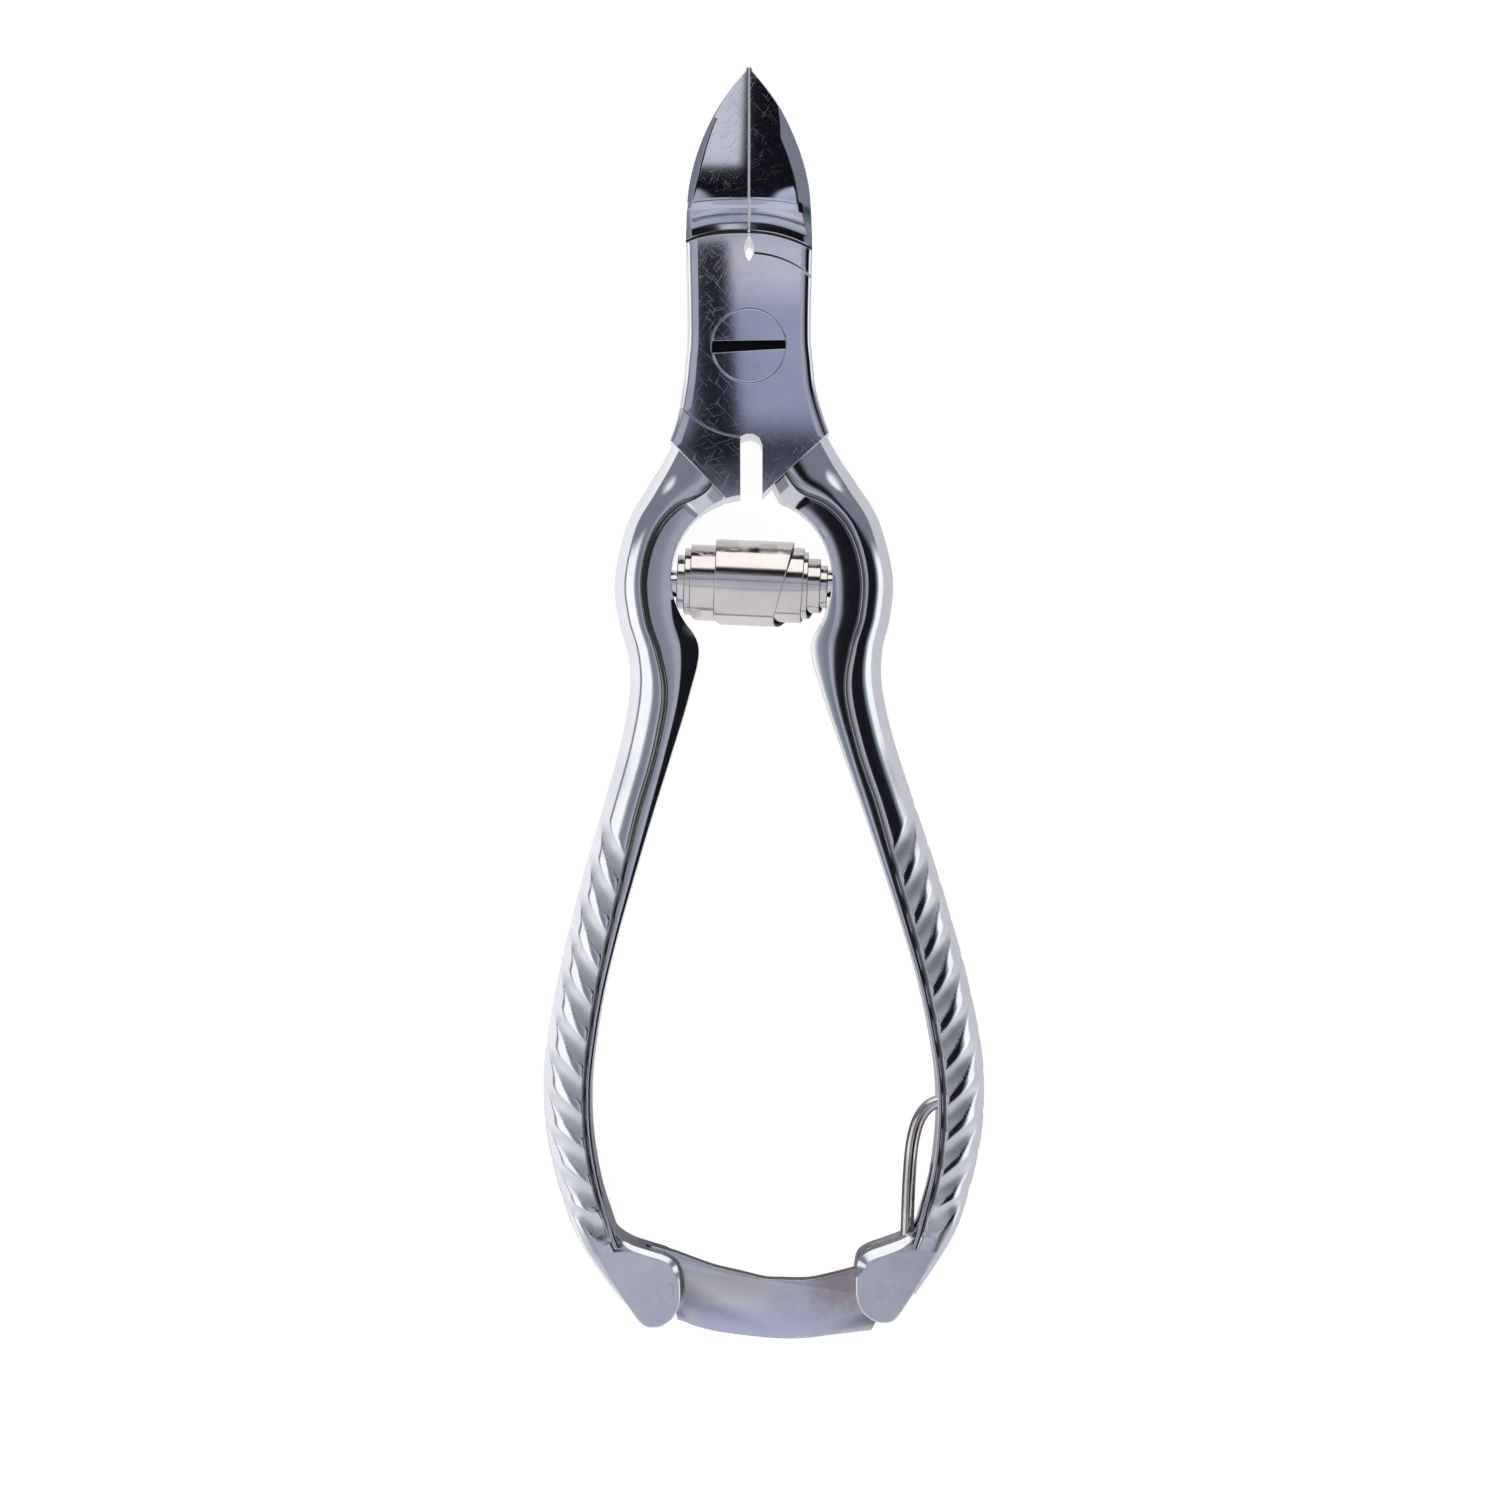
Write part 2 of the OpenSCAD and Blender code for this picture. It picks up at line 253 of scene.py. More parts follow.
def boolean(piece, steps):
    """Joins, cuts or keeps the common part with each solid in turn, and removes those solids."""
    for operation, solid in steps:
        step = piece.modifiers.new("step", "BOOLEAN")
        step.operation = operation
        step.solver = "MANIFOLD"
        step.object = solid
    bpy.context.view_layer.update()
    evaluated = piece.evaluated_get(bpy.context.evaluated_depsgraph_get())
    result = bpy.data.meshes.new_from_object(evaluated)
    piece.modifiers.clear()
    piece.data = result
    result.name = piece.name
    for _, solid in steps:
        bpy.data.objects.remove(solid)
    return piece


def shade(piece, angle=28):
    """Smooth shading, with sharp edges where faces turn by more than an angle."""
    bm = bmesh.new()
    bm.from_mesh(piece.data)
    bmesh.ops.remove_doubles(bm, verts=bm.verts, dist=0.002 * MM)
    bmesh.ops.dissolve_degenerate(bm, edges=bm.edges, dist=0.002 * MM)
    for face in bm.faces:
        face.smooth = True
    for e in bm.edges:
        e.smooth = len(e.link_faces) == 2 and e.calc_face_angle(0) < math.radians(angle)
    bm.to_mesh(piece.data)
    bm.free()
    return piece


# ---------------------------------------------------------------- jaws, joint and shoulders
def half_width(y, side):
    """Half width of the closed jaws and joint at y."""
    ogive_r = ((JAW_TIP_Y - JAW_BASE_Y) ** 2 + JAW_HALF_W ** 2) / (2 * JAW_HALF_W)
    ogive = JAW_HALF_W - ogive_r + np.sqrt(np.maximum(ogive_r ** 2 - (y - JAW_BASE_Y) ** 2, 0))
    table = spline(JOINT_SIDE, 200)[::-1]
    joint = np.interp(y, table[:, 1], table[:, 0])
    skew = smoothstep((-y - 4) / 4) * side * np.tan(math.radians(HANDLE_SKEW)) * -y
    return np.where(y > JAW_BASE_Y, np.maximum(ogive, 0.28), joint + skew)


SHOULDER_END_Y = -17.5
COVE_EDGE_Y = 12.25
# How far the sections sweep back at the jaws' sides, and the power of that curve, on each side.
BOW = {1: (1.85, 2), -1: (1.05, 3)}
# Radius of the joint's outer edges.
JOINT_EDGE = 0.68
# Depth of the ground face below the joint's face: y, front, back. The cove comes first.
GRIND = [(12.25, 0, 0), (12.37, 0.42, 0.42), (12.5, 0.72, 0.72), (12.72, 0.92, 0.92),
         (13.1, 1.0, 1.0), (14.1, 1.1, 1.1), (15.1, 1.06, 1.08), (16.1, 0.86, 0.92), (31, 2.4, 3.4)]
# Slope of the ground facets along the jaws' outer edges.
FACET_SLOPE = 0.5
# Width of the facet at y on each side.
FACETS = {1: ((11.5, 13.5, 15.6, 18.8, 23, 26.4), (0.3, 0.5, 1.05, 1.25, 1.5, 0.1)),
          -1: ((11.5, 12.4, 15.4, 18.8, 23, 27), (0.35, 0.05, 0.05, 0.45, 0.35, 0.1))}
# Where the painted shade down the cove's riser ends, at its foot: x, y.
COVE_FOOT = ((-6.9, -5, -2, -0.5, 1, 6.9), (12.76, 12.85, 12.9, 12.85, 12.78, 12.76))


def grind_profile():
    """The grind as a smooth curve in the cove and straight along the blades."""
    return np.vstack([spline(GRIND[:-1], 80), GRIND[-1]])


def core_side(v, side, grind):
    """One side of a section from the middle out: place across, y, front, back and the painted shade down
    the cove's riser.
    """
    swept, power = BOW[side]
    bow = swept * smoothstep((v - 9) / 3) * smoothstep((18 - v) / 4)
    jaw = float(smoothstep((v - 12.0) / 0.6))
    facet_w = np.interp(v, *FACETS[side])
    wide = float(half_width(np.array(v), side))
    edge_w = min(JOINT_EDGE * (1 - jaw) + facet_w * jaw, 0.45 * wide)

    # The joint's edge is round and the jaws' edge is a flat facet.
    fillet = np.linspace(0, math.pi / 2, 8)
    facet = np.linspace(0, 1, 8)
    rim_in = edge_w * np.sin(fillet) * (1 - jaw) + edge_w * jaw * facet
    rim_down = edge_w * (1 - np.cos(fillet)) * (1 - jaw) + FACET_SLOPE * edge_w * jaw * facet
    across = np.concatenate([np.linspace(0, 0.9, 10), [1.0]])
    x = np.concatenate([(wide - edge_w) * across, wide - edge_w + rim_in[1:]])
    down = np.concatenate([np.zeros(len(across)), rim_down[1:]])

    y = v - bow * (x / JAW_HALF_W) ** power
    front = np.interp(v, grind[:, 0], grind[:, 1], left=0)
    back = np.interp(v, grind[:, 0], grind[:, 2], left=0)
    foot = np.interp(side * x, *COVE_FOOT)
    # Painted shade from the cove's edge down its riser to the foot.
    cove_shade = smoothstep((v - COVE_EDGE_Y - 0.02) / 0.05) * smoothstep((foot + 0.08 - v) / 0.16)
    return side * x, y, BODY_T - front - down, back + down, cove_shade * np.ones(len(x))


def core_rings():
    """Cross-sections of both closed halves from the tip to the shoulders, as one solid."""
    rows = np.unique(np.concatenate([
        np.linspace(SHOULDER_END_Y, 12.1, 70), [12.2, COVE_EDGE_Y - 0.005],
        np.linspace(COVE_EDGE_Y, 13.2, 26), np.linspace(13.3, 16.0, 22), [16.1],
        np.linspace(16.4, JAW_TIP_Y - 0.1, 50), [JAW_TIP_Y]]))[::-1]
    grind = grind_profile()
    rings, cove_shade_rows = [], []
    for v in rows:
        rx, ry, rt, rl, rg = core_side(v, 1, grind)
        lx, ly, lt, ll, lg = core_side(v, -1, grind)
        upper = [np.concatenate([right[::-1], left[1:]]) for right, left in ((rx, lx), (ry, ly), (rt, lt))]
        lower = [np.concatenate([left[::-1], right[1:]]) for right, left in ((rx, lx), (ry, ly), (rl, ll))]
        rings.append(np.concatenate([np.column_stack(upper), np.column_stack(lower)]))
        cove_shade_rows.append(np.concatenate([rg[::-1], lg[1:], lg[::-1], rg[1:]]))
    return rings, cove_shade_rows


def almond(half_w, low_y, high_y, count=24):
    """Outline pointed at both ends, for the notch where the cutting edges end."""
    mid, reach = (low_y + high_y) / 2, (high_y - low_y) / 2
    t = [2 * math.pi * k / count for k in range(count)]
    return [(half_w * math.sin(a) * (1 - 0.25 * abs(math.cos(a))), mid + reach * math.cos(a)) for a in t]


def edge_groove():
    """Narrow V along the cutting edges, on both faces."""
    grooves = []
    ys = np.linspace(12.3, 31.2, 60)
    grind = grind_profile()
    for face, out in (("front", 1), ("back", -1)):
        depth = np.interp(ys, grind[:, 0], grind[:, 1 if out > 0 else 2])
        z = BODY_T - depth if out > 0 else depth
        rings = [[(-0.25, y, zz + out * 0.1), (0, y, zz - out * 0.12), (0.25, y, zz + out * 0.1)]
                 for y, zz in zip(ys, z)]
        grooves.append(loft("groove_" + face, rings))
    return grooves


def core():
    """Both closed halves' jaws, joint and shoulders, with the slot and the spring's recess cut out."""
    rings, cove_shade_rows = core_rings()
    # The cove's riser gets its painted shade.
    piece = paint(loft("core", rings), "painted_shade", cove_shade_rows)
    slot = prism("slot", [(x + 0.26, y) for x, y in
                          [(-1.2, -20), (1.2, -20), (1.2, -10.9), (0.85, -10.1), (0.2, -9.7),
                           (-0.6, -9.7), (-1.2, -10)]], -1, 9)
    steps = [("DIFFERENCE", slot),
             ("DIFFERENCE", disc("recess", RECESS_AT, RECESS_R, -1, 9, 160))]
    for side in (-1, 1):
        (ox, oy), (ix, iy) = FLAT_EDGE[side]
        dx, dy = ox - ix, oy - iy
        beyond = [(ix - 3 * dx, iy - 3 * dy), (ix - 3 * dx, -40), (30, -40), (30, 20),
                  (ox + 3 * dx, oy + 3 * dy)]
        wedge = [turned(side * x, y, HANDLE_SKEW) for x, y in beyond]
        steps.append(("DIFFERENCE", prism("beyond", wedge, -1, 9)))
    return boolean(piece, steps)


# Gaps between the halves along their edges, round the lap, round its upper part and round the
# screw's head.
EDGE_ROOM = 0.025
LAP_GAP = 0.12
UPPER_GAP = 0.26
HEAD_GAP = 0.11


def half_core(name, side):
    """The share of the joint and jaws that belongs to one forging. side is where its jaw is."""
    far = 40
    front = side < 0
    piece = core()
    # The other half's quadrants outside the lap circle, with a hair of room between the edges.
    room = side * EDGE_ROOM
    quadrants = [[(room, 0), (-side * far, 0), (-side * far, far), (room, far)],
                 [(0, 0), (side * far, 0), (side * far, -far), (0, -far)]]
    steps = []
    for quadrant in quadrants:
        block = prism("quadrant", anticlockwise(quadrant), -1, 9)
        boolean(block, [("DIFFERENCE", disc("keep", (0, 0), LAP_R, -2, 10, 256))])
        steps.append(("DIFFERENCE", block))
    low, high = (-1, MID_Z + PLATE_SPLIT) if front else (MID_Z - PLATE_SPLIT, 9)
    pocket = disc("pocket", (0, 0), LAP_R + LAP_GAP, low, high, 256)
    steps.append(("DIFFERENCE", pocket))
    upper_gap = boolean(disc("upper_gap", (0, 0), LAP_R + UPPER_GAP, low, high, 256),
                        [("INTERSECT", prism("upper", [(-30, 4), (30, 4), (30, 30), (-30, 30)], -2, 10))])
    steps.append(("DIFFERENCE", upper_gap))
    steps.append(("DIFFERENCE", prism("notch", almond(0.58, 9.3, 12.0), -1, 9)))
    steps += [("DIFFERENCE", groove) for groove in edge_groove()]
    piece.name = name
    return boolean(piece, steps)


# ---------------------------------------------------------------- handles
# Flutes across the ridge: how many, how far apart along it, where the first starts, how far each
# one runs along the ridge, its half width and its depth.
FLUTES = 11
FLUTE_PITCH = 4.33
FLUTE_FIRST_Y = -50.9
FLUTE_RUN = 6.6
FLUTE_HALF_W = 1.12
FLUTE_DEPTH = 0.3
# As shares of a flute's length: where it is widest, and how far its pointed end reaches back.
FLUTE_WIDEST = 0.66
FLUTE_LEAD = 0.12


def flute_depth(along, across, reach):
    """Depth of the flutes at a place along the outer edge and across from it."""
    depth = np.zeros_like(along)
    for k in range(FLUTES):
        start = k * FLUTE_PITCH
        length = np.hypot(FLUTE_RUN, reach)
        dir_a, dir_c = FLUTE_RUN / length, reach / length
        da, dc = along - start, across
        t = (da * dir_a + dc * dir_c) / length
        off = np.abs(-da * dir_c + dc * dir_a)
        grow = np.clip((t + FLUTE_LEAD) / (FLUTE_WIDEST + FLUTE_LEAD), 0, 1) ** 0.75
        close = np.sqrt(np.clip(1 - ((t - FLUTE_WIDEST) / (1.0 - FLUTE_WIDEST)) ** 2, 0, 1))
        half_w = FLUTE_HALF_W * np.where(t < FLUTE_WIDEST, grow, close)
        shape = np.clip(1 - (off / np.maximum(half_w, 1e-4)) ** 2, 0, 1)
        depth = np.maximum(depth, FLUTE_DEPTH * np.maximum(half_w / FLUTE_HALF_W, 0.0) * shape)
    return depth


def even_stations():
    """The handle's stations as rows along a smooth curve, evenly spaced."""
    path = spline(STATIONS, 1200)
    middle = (path[:, 0:2] + path[:, 2:4]) / 2
    run = np.concatenate([[0], np.cumsum(np.linalg.norm(np.diff(middle, axis=0), axis=1))])
    even = np.linspace(0, run[-1], int(run[-1] / RING_STEP))
    return np.column_stack([np.interp(even, run, path[:, k]) for k in range(path.shape[1])])


def section_columns(width, flange, half_t, chamfer, tall, power):
    """The front of each section, column by column from the inner edge to the outer one.

    Returns the place across, the height, the two parts of the normal, 1 on the ridge, and the painted
    shade on the wall up to the ridge, then the flange's height at the ridge's foot, and the columns where
    the wall and the crest start.
    """
    crest = flange + 0.08 * (width - flange) + 0.08
    inner_r, outer_r = crest - flange, width - crest
    columns = [(0, half_t - CHAMFER_SLOPE * chamfer, 0, 1, 0, 0), (chamfer, half_t, 0, 1, 0, 0)]
    for k in (0.2, 0.35, 0.5, 0.65, 0.8, 0.97):
        fall = FLANGE_FALL * (flange - chamfer) * max(k - 0.25, 0) ** 1.3
        columns.append((chamfer + (flange - chamfer) * k, half_t - fall, 0, 1, 0, 0))
    foot = half_t - FLANGE_FALL * (flange - chamfer) * 0.75
    wall_at = len(columns)
    # The wall up to the ridge gets painted shade, darkest at its foot.
    for a in np.radians([2, 14, 28, 42, 56, 70, 82]):
        columns.append((crest - inner_r * math.cos(a), foot + (tall - foot) * math.sin(a), -0.3, 1, 1,
                        WALL_SHADE * math.cos(a) ** 0.5))
    crest_at = len(columns)
    for a in np.radians(np.linspace(90, 0, 27)):
        outward, upward = math.cos(a) / outer_r, math.sin(a) / tall
        size = np.hypot(outward, upward)
        columns.append((crest + outer_r * abs(math.cos(a)) ** power, tall * math.sin(a) ** power,
                        outward / size, upward / size, 1, 0))
    values = np.array([[value * np.ones(len(width)) for value in column] for column in columns])
    return values.transpose(1, 2, 0), foot, wall_at, crest_at


def with_band(z, plan, side, foot, top, wall_at, crest_at):
    """Heights with a ground band below the shoulder's flat, which runs out into the handle."""
    (ox, oy), (ix, iy) = FLAT_EDGE[side]
    edge = np.array([ox - ix, oy - iy])
    edge /= np.linalg.norm(edge)
    past = (plan[:, :, 0] - ix) * edge[1] - (plan[:, :, 1] - iy) * edge[0]
    band = MID_Z - BAND_STEP - BAND_SLOPE * np.maximum(past, 0)
    hold = 1 - smoothstep((past - BAND_W) / BAND_FADE)
    column = np.arange(z.shape[1])[None, :]
    foot, top = foot[:, None], top[:, None]
    base = hold * band + (1 - hold) * np.where(column < wall_at, z, foot)
    climb = np.where(column < wall_at, 0, (z - foot) / (top - foot))
    return np.where((column > 0) & (column < crest_at), base + (top - base) * climb, z)


def both_faces(front, back):
    """Columns of the front followed by those of the back, which shares the outermost one."""
    return np.concatenate([front, back[:, -2::-1]], axis=1)


def handle_sweep(name, side):
    """A handle from inside the shoulder to inside the fork. side is where it lies."""
    path = even_stations()
    inner, outer = path[:, 0:2], path[:, 2:4]
    across = outer - inner
    width = np.linalg.norm(across, axis=1)
    across /= width[:, None]
    flange, half_t, chamfer = path[:, 4], path[:, 5] / 2, path[:, 6]
    flat_end = smoothstep((FORK_BLEND_Y - path[:, 3]) / FORK_BLEND)
    tall = (MID_Z - UNDER) * (1 - flat_end) + (FORK_HALF_T - 0.006) * flat_end
    half_t = half_t * (1 - flat_end) + (tall - UNDER) * flat_end
    power = 2 / (2 + 5 * flat_end)

    def in_plan(u):
        return inner[:, None, :] + across[:, None, :] * u[:, :, None]

    columns, foot, wall_at, crest_at = section_columns(width, flange, half_t, chamfer, tall, power)
    u, z, outward, upward, ridge, dark = columns
    z = with_band(z, in_plan(u), side, foot, tall, wall_at, crest_at)

    # Flutes across the ridge.
    outer_run = np.concatenate([[0], np.cumsum(np.linalg.norm(np.diff(outer, axis=0), axis=1))])
    first = np.interp(-FLUTE_FIRST_Y, -outer[:, 1], outer_run)
    along = (outer_run - first)[:, None] * np.ones_like(u)
    depth = flute_depth(along, width[:, None] - u, (width - flange)[:, None] + 0.4) * ridge
    plan = in_plan(u - depth * outward)
    z = z - depth * upward

    rings = both_faces(np.dstack([plan, MID_Z + z]), np.dstack([plan, MID_Z - z]))
    x, y = turned(side * rings[:, :, 0], rings[:, :, 1], HANDLE_SKEW)
    piece = loft(name, np.dstack([x, y, rings[:, :, 2]]))
    satin = smoothstep(depth / 0.05)
    # The painted shade on that wall fades out towards the fork.
    dark = dark * (1 - flat_end)[:, None]
    paint(piece, "satin", both_faces(satin, satin))
    return paint(piece, "painted_shade", both_faces(dark, dark))


def fork(name, side):
    """The end of a handle: a thick plate with a bevelled edge, which dives into the handle above it."""
    outline = anticlockwise(spline(FORK_OUTLINE + FORK_OUTLINE[:1], 160)[:-1])
    upper = smoothstep((outline[:, 1] + 102.6) / 1.6) * smoothstep((17.0 - outline[:, 0]) / 1.5)
    edge = FORK_EDGE + upper * (FORK_BEVEL[side] - FORK_EDGE)
    x, y = turned(side * outline[:, 0], outline[:, 1], HANDLE_SKEW)
    shaped = np.column_stack([x, y])
    if side < 0:
        shaped, edge = shaped[::-1], edge[::-1]
    inner, drop = inset(shaped, edge), edge * BEVEL_SLOPE
    low, high = MID_Z - FORK_HALF_T, MID_Z + FORK_HALF_T
    rings = [np.column_stack([inner, np.full(len(inner), low)]), np.column_stack([shaped, low + drop]),
             np.column_stack([shaped, high - drop]), np.column_stack([inner, np.full(len(inner), high)])]
    dive_from, dive_to = -100, -93
    rows = []
    for y in np.concatenate([[-120], np.linspace(dive_from, dive_to, 15), [-90]]):
        half = FORK_HALF_T + 0.05 - FORK_DIVE * smoothstep((y - dive_from) / (dive_to - dive_from))
        rows.append([(-30, y, MID_Z - half), (30, y, MID_Z - half), (30, y, MID_Z + half),
                     (-30, y, MID_Z + half)])
    return boolean(loft(name, rings), [("INTERSECT", loft("dive", rows))])


def forging(name, side):
    """One half. side is where its jaw is, and its handle is on the other side."""
    piece = half_core(name, side)
    hand = -side
    slot = CATCH_SLOT if hand > 0 else KEEPER_SLOT
    recess = disc("recess", RECESS_AT, RECESS_R, -1, 9, 192)
    steps = [("UNION", handle_sweep("sweep", hand)),
             ("UNION", fork("fork", hand)),
             ("DIFFERENCE", recess),
             ("DIFFERENCE", disc("lap", (0, 0), LAP_R + LAP_GAP, *((-1, MID_Z + PLATE_SPLIT) if side < 0
                                 else (MID_Z - PLATE_SPLIT, 9)), 256)),
             ("DIFFERENCE", prism("fork_slot", anticlockwise(slot), MID_Z - FORK_SLOT_HALF,
                                  MID_Z + FORK_SLOT_HALF))]
    if side < 0:
        steps.append(("DIFFERENCE", disc("head_seat", (0, 0), SCREW_HEAD_R + HEAD_GAP,
                                         BODY_T - SCREW_HEAD_T, 9, 160)))
    steps.append(("DIFFERENCE", disc("bore", (0, 0), SCREW_SHANK_R + 0.02, -1, 9)))
    pin_at, pin_r = (CATCH_AXIS, 1.0) if hand > 0 else (KEEPER_AXIS, 0.9)
    steps.append(("DIFFERENCE", disc("pin_hole", pin_at, pin_r + 0.01, -1, 9, 192)))
    return shade(boolean(piece, steps))


# ---------------------------------------------------------------- small parts
def lathe(name, profile, count=96):
    """Solid of revolution about +Z from (radius, z) points, on the origin."""
    rings = [[(r * math.cos(2 * math.pi * k / count), r * math.sin(2 * math.pi * k / count), z)
              for k in range(count)] for r, z in profile]
    return loft(name, rings)


def screw():
    head_low = BODY_T - SCREW_HEAD_T + 0.05
    rim = 0.07
    piece = lathe("pivot_screw_piece", [
        (SCREW_SHANK_R - 0.1, 0.0), (SCREW_SHANK_R, 0.1), (SCREW_SHANK_R, head_low),
        (SCREW_HEAD_R, head_low), (SCREW_HEAD_R, BODY_T - rim - 0.01),
        (SCREW_HEAD_R - rim, BODY_T - 0.01)])
    slot = [turned(x, y, 1.5) for x, y in [(-6, -0.68), (6, -0.38), (6, 0.38), (-6, 0.58)]]
    levels = ((0.9, BODY_T - 0.8), (1.0, BODY_T - 0.15), (1.35, BODY_T + 0.1))
    cutter = loft("slot", [[(x, y * k, z) for x, y in slot] for k, z in levels])
    # Painted shade in the slot, below its rim.
    paint(cutter, "painted_shade", [[1 if z < BODY_T - 0.1 else 0] * len(slot) for _, z in levels])
    return shade(boolean(piece, [("DIFFERENCE", cutter)]))


# Turns of the spring: left edge, right edge, outer diameter, and how far the right edge leans.
TURNS = [(-8.2, -1.6, 5.8, 0), (-7.4, -1.0, 7.3, 0), (-6.75, -0.4, 8.2, 0), (-4.05, 3.5, 9.6, 1.1),
         (0.2, 5.65, 8.4, 0.1), (0.8, 6.2, 7.6, 0), (1.4, 7.6, 6.2, 0), (2.0, 8.4, 4.8, 0),
         (2.0, 8.45, 4.6, 0)]
STRIP_T = 0.42
SPRING_TILT = -2.5


def spring():
    """One strip wound from the small left end over the wide middle to the small right end."""
    per_turn = 96
    rows = np.array(TURNS)
    spans = np.arange(per_turn * (len(rows) - 1) + 1) / per_turn
    k = np.minimum(spans.astype(int), len(rows) - 2)
    late = smoothstep((spans - k - 0.55) / 0.4)[:, None]
    values = rows[k] * (1 - late) + rows[k + 1] * late
    bevel = 0.08
    rings = []
    for span, (left, right, d, lean) in zip(spans, values):
        angle = 2 * math.pi * span - math.pi * 0.35
        right += lean * math.cos(angle)
        r1, r0 = d / 2, d / 2 - STRIP_T
        section = [(left, r0 + bevel), (left, r1 - bevel), (left + bevel, r1), (right - bevel, r1),
                   (right, r1 - bevel), (right, r0 + bevel), (right - bevel, r0), (left + bevel, r0)]
        ring = []
        for x, r in section:
            sx, sy = turned(x, r * math.cos(angle), SPRING_TILT)
            ring.append((SPRING_AT[0] + sx, SPRING_AT[1] + sy, MID_Z + r * math.sin(angle)))
        rings.append(ring)
    # Painted shade on the strip's edge walls and its inner face, where the turns shade each other.
    dark = [[1, 0.9, 0, 0, 0.9, 1, 1, 1]] * len(rings)
    return shade(paint(loft("barrel_spring_piece", rings), "painted_shade", dark), 40)


def catch_bar():
    def on_hook(y):
        return (CATCH_AXIS[0] - math.sqrt(HOOK_ARC_R ** 2 - (y - CATCH_AXIS[1]) ** 2), y)

    hook = [on_hook(y) for y in (-107.2, -106.4, -105.5, -104.6, -103.7, -102.8, -101.8)]
    tongue = [(-10.15, -101.8), (-10.15, -102.4), (-11.15, -102.25), (-11.15, -99.6), (-10.7, -99.1),
              (-8.2, -99.8)]
    top = spline([(-8.2, -99.8), (-4.1, -101.3), (-1, -102.05), (1.75, -102.7), (3.7, -102.8),
                  (6.6, -102.8), (9.5, -102.2), (12.2, -101.5)], 36)[1:]
    tail = spline([(12.2, -101.5), (12.6, -100), (13, -99.4), (14.1, -99.1), (15.5, -98.75),
                   (17, -98.3), (17.75, -98.45), (17.2, -100.1), (17.2, -102), (17.3, -103.7),
                   (16.8, -105.1), (15.4, -106), (14.3, -107.1), (13.5, -108.4)], 60)[1:]
    low = spline([(13.5, -108.4), (9.2, -108.9), (5.7, -109.3), (1.75, -109.2), (-4.2, -108.4),
                  hook[0]], 36)[1:-1]
    outline = np.array(tongue + top.tolist() + tail.tolist() + low.tolist() + hook)
    piece = plate("catch_bar_piece", outline, MID_Z - CATCH_T / 2, MID_Z + CATCH_T / 2, CATCH_EDGE)
    return shade(boolean(piece, [("DIFFERENCE", disc("bore", CATCH_AXIS, PIN_FIT_R, -1, 9))]))


WIRE_R = 0.73
WIRE_PATH = [(23.4, -83.1), (21.3, -83.2), (19.87, -83.8), (18.74, -85.4), (18.07, -88), (17.75, -91.6),
             (17.6, -95), (17.5, -98.05)]


def wire():
    """Bent wire from its seat in the handle down to the catch bar's tail, with a round tip."""
    path = spline(WIRE_PATH, 70)
    ahead = np.gradient(path, axis=0)
    ahead /= np.linalg.norm(ahead, axis=1)[:, None]
    around = np.linspace(0, 2 * math.pi, 24, endpoint=False)
    rings = [[(x - dy * WIRE_R * math.cos(a), y + dx * WIRE_R * math.cos(a), MID_Z + WIRE_R * math.sin(a))
              for a in around] for (x, y), (dx, dy) in zip(path, ahead)]
    for scale, reach in ((0.9, 0.05), (0.7, 0.1), (0.4, 0.13)):
        last = np.array(rings[len(path) - 1])
        centre = last.mean(0)
        forward = np.array([ahead[-1][0], ahead[-1][1], 0]) * reach
        rings.append((centre + (last - centre) * scale + forward).tolist())
    return shade(loft("catch_wire_piece", rings), 50)


# ---------------------------------------------------------------- node helpers
def add(tree, kind, **settings):
    node = tree.nodes.new("ShaderNode" + kind)
    for key, value in settings.items():
        if key in node.inputs:
            node.inputs[key].default_value = value
        else:
            setattr(node, key, value)
    return node


def feed(tree, socket, value):
    """Connects a socket, or sets it to a number or colour."""
    if isinstance(value, bpy.types.NodeSocket):
        tree.links.new(value, socket)
    else:
        socket.default_value = value


def calc(tree, operation, *values):
    node = add(tree, "Math", operation=operation)
    for socket, value in zip(node.inputs, values):
        feed(tree, socket, value)
    return node.outputs[0]


def step(tree, value, low, high, start=0.0, end=1.0):
    """Smooth change from start to end as a value goes from low to high."""
    node = add(tree, "MapRange", interpolation_type="SMOOTHSTEP")
    for key, setting in (("Value", value), ("From Min", low), ("From Max", high),
                         ("To Min", start), ("To Max", end)):
        feed(tree, node.inputs[key], setting)
    return node.outputs[0]


def mixed(tree, factor, below, above):
    node = add(tree, "Mix", data_type="RGBA")
    for socket, value in ((node.inputs[0], factor), (node.inputs[6], below), (node.inputs[7], above)):
        feed(tree, socket, (*value, 1) if isinstance(value, tuple) else value)
    return node.outputs[2]


def ramp(tree, value, low, high, stops, interpolation="EASE"):
    """Colour by a value between low and high, from (value, colour) stops."""
    node = add(tree, "ValToRGB")
    feed(tree, node.inputs[0], step_linear(tree, value, low, high))
    band = node.color_ramp
    band.interpolation = interpolation
    while len(band.elements) > 1:
        band.elements.remove(band.elements[-1])
    for k, (at, colour) in enumerate(stops):
        place_at = (at - low) / (high - low)
        element = band.elements[0] if k == 0 else band.elements.new(place_at)
        element.position = place_at
        element.color = (*colour, 1)
    return node.outputs[0]


def step_linear(tree, value, low, high, start=0.0, end=1.0):
    node = add(tree, "MapRange")
    for key, setting in (("Value", value), ("From Min", low), ("From Max", high),
                         ("To Min", start), ("To Max", end)):
        feed(tree, node.inputs[key], setting)
    return node.outputs[0]


# ---------------------------------------------------------------- materials
# Colour and roughness where shade is painted into corners and hollows.
PAINTED_SHADE_COLOUR = (0.02, 0.02, 0.025)
PAINTED_SHADE_ROUGHNESS = 0.5
SATIN_ROUGHNESS = 0.42
# Radius that the shading gives to sharp edges, in millimetres.
EDGE_ROUND = 0.09


